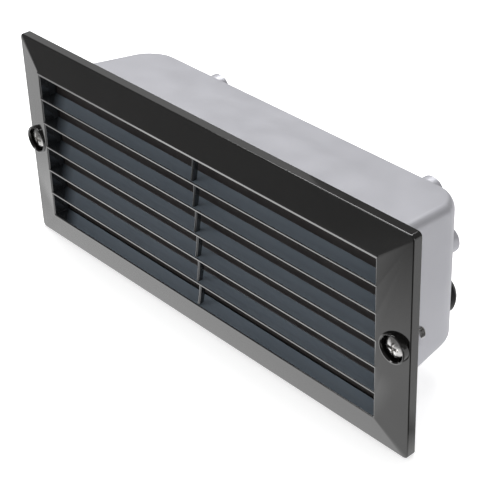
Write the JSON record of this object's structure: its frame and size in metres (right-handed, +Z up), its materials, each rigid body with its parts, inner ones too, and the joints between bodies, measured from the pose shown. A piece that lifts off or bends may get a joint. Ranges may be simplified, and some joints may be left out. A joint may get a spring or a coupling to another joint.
{
  "type": "step light",
  "caption": "Recessed louvred step or brick light with a bevelled face plate, frosted glass, a drafted back box, and a screw-in candle lamp in its holder.",
  "frame": {"origin": "middle of the wall opening, in the plane of the wall's surface, where the back edge of the face plate lies", "axes": "+X along the light to the right of a person who looks at its face, +Y into the wall, +Z up"},
  "size_m": [0.24, 0.0657, 0.102],
  "materials": {
    "plate_black": "gloss black paint",
    "box_metal": "light grey paint on cast aluminium",
    "frosted_glass": "frosted",
    "opal_glass": "opal white",
    "steel": "bright zinc plated or stainless",
    "zinc_sheet": "zinc plated sheet",
    "reflector_sheet": "bright rolled sheet",
    "lamp_cap_metal": "rolled metal",
    "brass": "bare brass",
    "rubber": "moulded rubber",
    "silicone": "clear grey silicone",
    "white_plastic": "moulded thermoset",
    "lead_brown": "insulated lead",
    "lead_blue": "insulated lead",
    "cap_insulator": "black vitrite with a solder button"
  },
  "bodies": {
    "back_box": {"housing": "box_metal", "housing_gasket": "rubber", "cable_grommet": "rubber", "reflector": "reflector_sheet", "reflector_screws": "steel", "lampholder_bracket": "zinc_sheet", "bracket_screws": "steel", "lampholder": "white_plastic", "lampholder_screws": "steel", "lampholder_shell": "brass", "lampholder_contact": "brass", "terminal_block": "white_plastic", "terminal_clamps": "brass", "terminal_screws": "steel", "block_screw": "steel", "live_lead": "lead_brown", "neutral_lead": "lead_blue", "earth_screw": "brass", "earth_washer": "brass"},
    "cover": {"face_plate": "plate_black", "glass_seal": "silicone", "diffuser_glass": "frosted_glass", "screw_seals": "rubber"},
    "screw_left": {"face_screw_left": "steel"},
    "screw_right": {"face_screw_right": "steel"},
    "lamp": {"lamp_bulb": "opal_glass", "lamp_cap": "lamp_cap_metal", "lamp_contact": "cap_insulator"}
  },
  "joints": [
    {"name": "cover_off", "type": "slide", "parent": "back_box", "child": "cover", "axis": [0, -1, 0], "range_m": [0, 0.05]},
    {"name": "screw_left_turn", "type": "hinge", "parent": "cover", "child": "screw_left", "pos_m": [-0.113, 0, 0], "axis": [0, -1, 0], "continuous": true},
    {"name": "screw_right_turn", "type": "hinge", "parent": "cover", "child": "screw_right", "pos_m": [0.113, 0, 0], "axis": [0, -1, 0], "continuous": true},
    {"name": "lamp_turn", "type": "hinge", "parent": "back_box", "child": "lamp", "pos_m": [0, 0.028, 0], "axis": [-1, 0, 0], "continuous": true}
  ]
}
